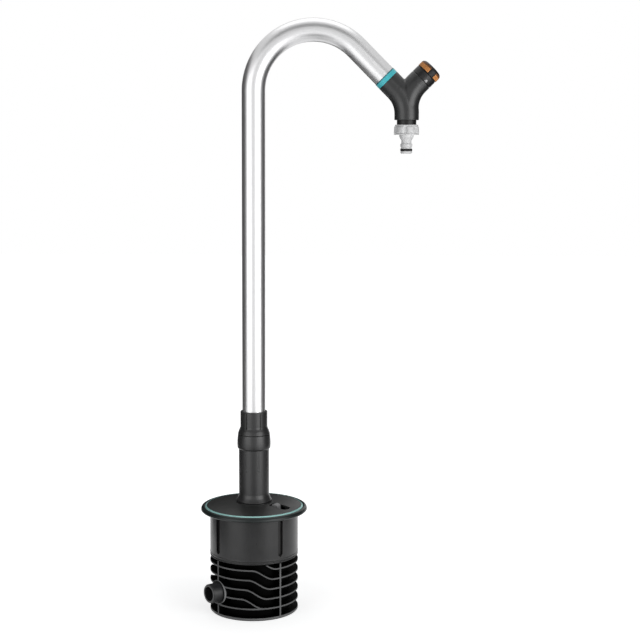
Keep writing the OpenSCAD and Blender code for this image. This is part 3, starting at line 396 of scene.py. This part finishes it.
def plastic(name, color, rough, spread=0.15, grain=0.05, specular=0.5, edge=None, inner=None, band=None,
            boss=None):
    """Moulded plastic: mottled colour, uneven gloss, fine grain, and edges lightened as wear and as
    painted edge highlight.
    edge is (radius, colour) for sharp edges, lightened as wear and as painted edge highlight.
    inner is (radius, colour) for what lies nearer the upright axis than that radius: painted shade in
    hollows and grooves.
    band is (arm, distance, colour) for what lies further out along that arm: painted shade on a band.
    boss is (distance, colour) for what lies nearer the port boss's face than that distance; the thin rim
    outside it keeps the lighter colour as painted edge highlight."""
    tree, shader = node_material(name)
    low = [c * (1 - spread) for c in color]
    high = [c * (1 + spread) for c in color]
    base = add_ramp(tree, add_noise(tree, *CLOUDS), low, high)
    # Painted shade: what lies nearer the axis takes a darker colour.
    if inner:
        radius, inner_shade_color = inner
        mask = add_range(tree, axis_radius(tree), 1, 0, radius, radius + INNER_FADE)
        base = add_mix(tree, mask, base, inner_shade_color)
    # Painted shade: what lies further out along the arm takes a darker colour.
    if band:
        arm, distance, band_shade_color = band
        mask = add_range(tree, arm_distance(tree, arm), 0, 1, distance, distance + BAND_FADE)
        base = add_mix(tree, mask, base, band_shade_color)
    # The boss's face takes its own colour; the rim left outside it keeps the lighter colour as painted
    # edge highlight.
    if boss:
        distance, boss_color = boss
        mask = add_range(tree, port_distance(tree), 1, 0, distance, distance + BOSS_FADE)
        base = add_mix(tree, mask, base, boss_color)
    normal = None
    # Sharp edges take a lighter colour, as wear and as painted edge highlight.
    if edge:
        radius, edge_wear_highlight_color = edge
        mask, normal = edge_mask(tree, radius)
        base = add_mix(tree, mask, base, edge_wear_highlight_color)
    tree.links.new(base, shader.inputs["Base Color"])
    streaks = add_noise(tree, *STREAKS)
    gloss = add_range(tree, streaks, rough - GLOSS_SPREAD, rough + GLOSS_SPREAD)
    tree.links.new(gloss, shader.inputs["Roughness"])
    add_bump(tree, shader, add_noise(tree, *GRAIN), grain, GRAIN_DEPTH, normal)
    shader.inputs["Specular IOR Level"].default_value = specular


def metal(name, color, rough, stretch, bump=0.04, rough_spread=0.05):
    """Metal with uneven gloss, and fine lines where the noise is stretched, or else fine grain."""
    tree, shader = node_material(name)
    lines = add_noise(tree, *LINES, stretch, LINE_ROUGH)
    low = [c * LINE_DARKER for c in color]
    base = add_ramp(tree, lines, low, color, *LINE_RAMP)
    tree.links.new(base, shader.inputs["Base Color"])
    shader.inputs["Metallic"].default_value = 1.0
    clouds = add_noise(tree, *SHEEN)
    gloss = add_range(tree, clouds, rough - rough_spread, rough + rough_spread)
    tree.links.new(gloss, shader.inputs["Roughness"])
    add_bump(tree, shader, lines, bump, LINE_DEPTH)


def make_materials():
    # Box: light grey on the pot's fin rims as painted highlight, nearly black hollows between the fins as
    # painted shade, and painted shade in the shell's grooves
    plastic("pot_black", (0.25, 0.25, 0.252), 0.5, specular=0.03, inner=(FIN_R - FIN_HIGHLIGHT_RIM, grey(0.0006)),
            boss=(PORT_BOSS_R - PORT_BOSS_HIGHLIGHT_RIM, (0.022, 0.022, 0.0225)))
    # The shell's grooves are painted nearly black as shade.
    plastic("shell_grey", (0.0275, 0.0275, 0.028), 0.3, specular=0.36, edge=(EDGE, grey(0.045)),
            inner=(SHELL_R - GROOVE_SHADE_DEPTH, grey(0.004)))
    plastic("rim_grey", (0.0035, 0.0075, 0.0072), 0.36, specular=0.36,
            edge=(WIDE_EDGE, (0.012, 0.022, 0.021)))
    plastic("line_teal", (0.42, 0.76, 0.72), 0.34, spread=0.06)
    plastic("lid_dark", (0.0085, 0.009, 0.0085), 0.4, grain=0.1, edge=(THIN_EDGE, grey(0.04)))
    plastic("latch_grey", (0.21, 0.21, 0.212), 0.4, edge=(THIN_EDGE, grey(0.2)))
    # Inside
    plastic("inner_dark", (0.02, 0.02, 0.021), 0.4, edge=(EDGE, grey(0.06)))
    plastic("inner_pale", (0.6, 0.6, 0.58), 0.4)
    plastic("seal_rubber", grey(0.004), 0.5, grain=0.1, specular=0.12)
    metal("spring_steel", (0.55, 0.56, 0.57), 0.28, (1, 1, 12))
    metal("screw_steel", (0.5, 0.51, 0.52), 0.34, (12, 12, 1))
    metal("spindle_brass", (0.72, 0.55, 0.27), 0.25, (12, 12, 1))
    # Standpipe and its head
    plastic("sleeve_black", (0.0175, 0.0175, 0.018), 0.34, edge=(EDGE, grey(0.05)))
    metal("tube_silver", (0.62, 0.62, 0.625), 0.34, (1, 1, 1), bump=0.03, rough_spread=0.012)
    # The spacer's band next to the tube is painted darker teal as shade.
    plastic("teal_trim", (0.07, 0.57, 0.64), 0.34, spread=0.06,
            band=("inlet", SPACER_END - SPACER_SHADE_BAND, (0.01, 0.13, 0.155)))
    plastic("housing_black", (0.015, 0.0155, 0.016), 0.34, edge=(EDGE, grey(0.045)))
    plastic("bonnet_black", (0.009, 0.009, 0.0095), 0.34, specular=0.36, edge=(EDGE, grey(0.035)))
    plastic("knob_black", grey(0.005), 0.33, specular=0.22, edge=(EDGE, grey(0.03)))
    # The grips' sloped upper edges are painted darker orange as shade.
    plastic("grip_orange", (0.64, 0.265, 0.078), 0.5, spread=0.1, grain=0.15, specular=0.3,
            band=("valve", GRIP_Z + GRIP_H - GRIP_SLOPE, (0.14, 0.055, 0.018)))
    plastic("thread_black", grey(0.004), 0.4, specular=0.3)
    plastic("connector_grey", (0.72, 0.72, 0.722), 0.42, spread=0.05, edge=(THIN_EDGE, (0.7, 0.71, 0.72)))
    plastic("mark_white", grey(0.62), 0.5, spread=0.04)


# Nodes whose look differs from the rest of their slot
OWN_MATERIAL = {"lid_line_ring": "line_teal", "bonnet": "bonnet_black"}


def dress_nodes():
    for row in frame["record"]["subparts"]:
        name = row["node"]
        slots = nodes[name].data.materials
        slots.clear()
        slots.append(MATERIALS[OWN_MATERIAL.get(name, row["material_slot"])])


# Pieces
def new_object(name, mesh):
    obj = bpy.data.objects.new(name, mesh)
    bpy.context.collection.objects.link(obj)
    return obj


def finish_piece(obj, body, slot, material=None):
    obj.data.materials.clear()
    obj.data.materials.append(MATERIALS[material or slot])
    for poly in obj.data.polygons:
        poly.use_smooth = True
    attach(obj, body)


def apply_modifiers(obj):
    graph = bpy.context.evaluated_depsgraph_get()
    mesh = bpy.data.meshes.new_from_object(obj.evaluated_get(graph))
    obj.modifiers.clear()
    obj.data = mesh


def grid_object(name, rows, closed_rows=False):
    """A skin over rows of points, each a closed loop. The rows close on themselves or end in caps."""
    steps = len(rows[0])
    points = [tuple(p) for row in rows for p in row]
    faces = []
    row_count = len(rows) if closed_rows else len(rows) - 1
    for i in range(row_count):
        here = i * steps
        there = (i + 1) % len(rows) * steps
        for j in range(steps):
            after = (j + 1) % steps
            faces.append((here + j, here + after, there + after, there + j))
    if not closed_rows:
        last = (len(rows) - 1) * steps
        faces.append(tuple(reversed(range(steps))))
        faces.append(tuple(range(last, last + steps)))
    mesh = bpy.data.meshes.new(name)
    mesh.from_pydata(points, [], faces)
    mesh.validate()
    mesh.update()
    obj = new_object(name, mesh)
    point_out(obj)
    return obj


def point_out(obj):
    """Turns the faces' normals outwards."""
    bm = bmesh.new()
    bm.from_mesh(obj.data)
    bmesh.ops.recalc_face_normals(bm, faces=bm.faces)
    bm.to_mesh(obj.data)
    bm.free()


def on_valve_arm(radius, angle, height):
    """A point round the valve arm, in the object's frame."""
    return VALVE_FRAME @ Vector((radius * math.cos(angle), radius * math.sin(angle), height))


# Housing: the mesh's cell, and the zone between the arms that the blend reaches
WELD_GAP = 0.000005
CELL = 0.0006
FORK_DROP = 0.004
FORK_HALF_W = 0.009
FORK_OUT_R = 0.0145
FORK_GAIN = 1.5
SMOOTH_FACTOR = 0.5
FORK_PASSES = 50
EVEN_PASSES = 3


def fork_weight(place):
    """1 in the fork between the two arms, 0 away from it."""
    rel = place - MID
    side = 1 if rel.x > 0 else -1
    axis = Vector((side * math.sin(ARM_TILT), 0, math.cos(ARM_TILT)))
    out = (rel - axis * rel.dot(axis)).length
    near = max(0.0, 1 - abs(rel.x) / FORK_HALF_W)
    if out <= FORK_OUT_R or place.z <= MID.z - FORK_DROP:
        return 0.0
    return min(1.0, near * FORK_GAIN)


def add_smooth(obj, name, passes, group=""):
    smooth = obj.modifiers.new(name, "SMOOTH")
    smooth.vertex_group = group
    smooth.factor = SMOOTH_FACTOR
    smooth.iterations = passes


def soft_housing():
    """The Y with a soft blend in its fork: the CAD solid's shape, remeshed and relaxed there."""
    obj = new_object("housing_skin", nodes["tap_housing"].data.copy())
    weld = obj.modifiers.new("weld", "WELD")
    weld.merge_threshold = WELD_GAP
    grid = obj.modifiers.new("grid", "REMESH")
    grid.mode = "VOXEL"
    grid.voxel_size = CELL
    apply_modifiers(obj)
    group = obj.vertex_groups.new(name="fork")
    for v in obj.data.vertices:
        weight = fork_weight(v.co)
        if weight > 0:
            group.add([v.index], weight, "REPLACE")
    add_smooth(obj, "relax", FORK_PASSES, "fork")
    add_smooth(obj, "even", EVEN_PASSES)
    apply_modifiers(obj)
    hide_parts("tap_housing")
    finish_piece(obj, "standpipe", "housing_black")


# Grips: heights are shares of the grip's height, fades are shares of its arc or height
GRIP_STEPS = 96
GRIP_RIBS = 11
GRIP_HEIGHTS = [0, 0.02, 0.05, 0.08, 0.2, 0.35, 0.5, 0.62, 0.69, 0.76, 0.84, 0.92, 0.95, 0.98, 1.0]
RIB_DEPTH = 0.00028
SLOPE_DEPTH = 0.0007
BORDER_DEPTH = 0.0009
END_FADE = 0.06
SIDE_FADE = 0.08


def rounded(share, fade):
    """Quarter round from 0 at either end to 1 past the fade."""
    part = min(1.0, min(share, 1 - share) / fade)
    return math.sqrt(max(0.0, 1 - (1 - part) ** 2))


def grip_radius(turn, height):
    """Outer radius of a grip at a place along its arc and height, both from 0 to 1."""
    slope_from = 1 - GRIP_SLOPE / GRIP_H
    top = max(0.0, (height - slope_from) / (1 - slope_from))
    rib = 0.5 - 0.5 * math.cos(2 * math.pi * GRIP_RIBS * turn)
    full = GRIP_OUT_R - RIB_DEPTH * rib * (1 - top) - SLOPE_DEPTH * top
    low = GRIP_OUT_R - BORDER_DEPTH
    return low + (full - low) * min(rounded(turn, END_FADE), rounded(height, SIDE_FADE))


def ribbed_grips():
    """Soft inlays with fine upright ribs and a sloped upper edge."""
    for k in range(GRIP_COUNT):
        middle = math.radians(GRIP_FIRST + 360 / GRIP_COUNT * k)
        rows = []
        for j in range(GRIP_STEPS + 1):
            turn = j / GRIP_STEPS
            angle = middle + GRIP_SPAN * (turn - 0.5)
            outer = [on_valve_arm(grip_radius(turn, h), angle, GRIP_Z + GRIP_H * h) for h in GRIP_HEIGHTS]
            inner = [on_valve_arm(GRIP_IN_R, angle, GRIP_Z + GRIP_H * h) for h in reversed(GRIP_HEIGHTS)]
            rows.append(outer + inner)
        obj = grid_object(f"grip_{k + 1}", rows)
        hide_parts("knob_grips")
        finish_piece(obj, "knob", "grip_orange")


# Connector, in millimetres: (radius, depth) below the lip's top, from the bore outwards
LIP = [(13.35, 0.2), (13.8, 0), (15.2, 0), (15.7, 0.3), (15.8, 1.4), (15.5, 1.8)]
# Lobed band: (radius, depth, lift of the lobes) below the lip's top, then below the nut's underside
LOBES_UPPER = [(14.5, 2.0, 0.3), (14.4, 2.3, 1.9), (14.4, 2.8, 2.3), (14.4, 5.0, 2.4)]
LOBES_LOWER = [(14.4, -5.0, 2.6), (14.4, -3.0, 2.7), (14.4, -2.6, 2.5), (14.5, -2.3, 0.4)]
# The rest: (radius, depth) below the nut's underside, down to the tip
BASE_BAND = [(16.4, -2.0), (16.9, -1.7), (17.1, -0.7), (16.9, -0.2), (16.3, 0)]
SHOULDER = [(9.9, 0), (9.7, 0.3), (9.7, 2.0), (9.6, 2.6), (9.2, 3.6), (8.2, 5.3), (7.3, 6.6), (6.95, 7.3)]
WAIST = [(6.8, 8.4), (6.8, 11.4)]
COLLAR = [(7.0, 11.8), (7.6, 12.0), (8.0, 12.3), (8.1, 12.8), (8.1, 15.7), (7.9, 16.2), (7.3, 16.5)]
NECK = [(7.1, 16.9), (7.1, 17.5), (7.5, 17.9)]
GROOVE = [(7.9, 18.1), (7.9, 18.7), (7.7, 18.8), (6.5, 18.85), (6.4, 19.2), (6.4, 21.5), (6.5, 21.75)]
NOSE = [(7.7, 21.8), (7.9, 21.95), (7.9, 23.2), (7.7, 24.4), (7.2, 25.1)]
# Opening at the tip: (radius, height) above the tip
MOUTH = [(6.6, 0), (5.0, 0), (4.55, 0.3), (4.5, 1.0)]
# Inner end of the bore and floor of the nut: (radius, depth) below the nut's underside
NUT_FLOOR = [(4.5, -2.2), (4.7, -2.4), (13.0, -2.4), (13.35, -2.7)]
NUT_LOBES = 6
LOBE_FIRST = math.radians(-70)
LOBE_HALF = math.radians(23)
# A lobe's outline: the first power flattens its middle, the second rounds its ends
LOBE_FLATNESS = 4
LOBE_END_POWER = 0.6
CONNECTOR_STEPS = 180


def lobe(angle):
    """1 on the middle of a lobe of the nut, 0 between the lobes."""
    period = 2 * math.pi / NUT_LOBES
    off = (angle - LOBE_FIRST + period / 2) % period - period / 2
    u = abs(off) / LOBE_HALF
    if u >= 1:
        return 0.0
    return (1 - u ** LOBE_FLATNESS) ** LOBE_END_POWER


def connector_profile():
    """Closed outline of the connector: (radius, height, lift of the lobes), in millimetres."""
    top = CONNECTOR_TOP * 1000
    nut = NUT_BOTTOM * 1000
    tip = TIP_Z * 1000
    rows = [(r, top - d, 0) for r, d in LIP]
    rows += [(r, top - d, lift) for r, d, lift in LOBES_UPPER]
    rows += [(r, nut - d, lift) for r, d, lift in LOBES_LOWER]
    rows += [(r, nut - d, 0) for r, d in BASE_BAND + SHOULDER + WAIST + COLLAR + NECK + GROOVE + NOSE]
    rows += [(r, tip + h, 0) for r, h in MOUTH]
    rows += [(r, nut - d, 0) for r, d in NUT_FLOOR]
    return rows


def hose_connector():
    """Nut with rounded lobes, a lip and a base band, over the turned quick-coupling nipple."""
    angles = [2 * math.pi * j / CONNECTOR_STEPS for j in range(CONNECTOR_STEPS)]
    rings = []
    for r, z, lift in connector_profile():
        ring = []
        for angle in angles:
            radius = (r + lift * lobe(angle)) / 1000
            ring.append((OUTLET_X + radius * math.cos(angle), radius * math.sin(angle), z / 1000))
        rings.append(ring)
    obj = grid_object("hose_connector", rings, closed_rows=True)
    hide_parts("tap_connector")
    finish_piece(obj, "standpipe", "connector_grey")


# Seal: radius of its middle, half width and half height, and the powers that flatten its sides.
# A power of 1 leaves them round, and a smaller one makes them flatter.
SEAL_R = 0.0073
SEAL_HALF_W = 0.00095
SEAL_HALF_H = 0.0014
SEAL_POWER_W = 0.8
SEAL_POWER_H = 0.7
SEAL_STEPS = 96
SEAL_SIDES = 20


def flattened(value, power):
    """A sine or cosine, pushed towards 1 and -1 by a power below 1."""
    return math.copysign(abs(value) ** power, value)


def round_seal():
    """Rubber ring with a full, rounded section in the nipple's groove."""
    rows = []
    for i in range(SEAL_STEPS):
        angle = 2 * math.pi * i / SEAL_STEPS
        loop = []
        for j in range(SEAL_SIDES):
            part = 2 * math.pi * j / SEAL_SIDES
            r = SEAL_R + SEAL_HALF_W * flattened(math.cos(part), SEAL_POWER_W)
            z = SEAL_Z + SEAL_HALF_H * flattened(math.sin(part), SEAL_POWER_H)
            loop.append((OUTLET_X + r * math.cos(angle), r * math.sin(angle), z))
        rows.append(loop)
    obj = grid_object("round_seal", rows, closed_rows=True)
    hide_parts("nipple_seal")
    finish_piece(obj, "standpipe", "seal_rubber")


# Mark: its middle along the arm and round it, and its two parts
MARK_Z = 0.0353
MARK_ANGLE = math.radians(-68)
MARK_PROUD = 0.0001
MARK_SUNK = 0.0003
MARK_STEPS = 12
# Each part: lower end, upper end and half widths from the one to the other, in millimetres
ARROW = (-1.0, 2.2, [2.3, 2.0, 1.2, 0.35, 0.1])
BAR = (-2.2, -1.5, [2.3, 2.3])


def bonnet_mark():
    """Small moulded pointer on the bonnet: a plain arrowhead over a bar."""
    for number, (low, high, half_widths) in enumerate((ARROW, BAR), 1):
        rows = []
        for k, half in enumerate(half_widths):
            z = MARK_Z + (low + (high - low) * k / (len(half_widths) - 1)) / 1000
            reach = half / 1000 / BONNET_R
            angles = [MARK_ANGLE + reach * (2 * j / MARK_STEPS - 1) for j in range(MARK_STEPS + 1)]
            outer = [on_valve_arm(BONNET_R + MARK_PROUD, angle, z) for angle in angles]
            inner = [on_valve_arm(BONNET_R - MARK_SUNK, angle, z) for angle in reversed(angles)]
            rows.append(outer + inner)
        obj = grid_object(f"bonnet_mark_{number}", rows)
        finish_piece(obj, "standpipe", "connector_grey", "mark_white")


make_camera()
make_world()
make_floor()
for softbox in SOFTBOXES:
    make_light(*softbox)
for flag in FLAGS:
    make_flag(*flag)
bpy.context.scene.view_settings.view_transform = "Standard"

make_materials()
dress_nodes()

soft_housing()
ribbed_grips()
hose_connector()
round_seal()
bonnet_mark()
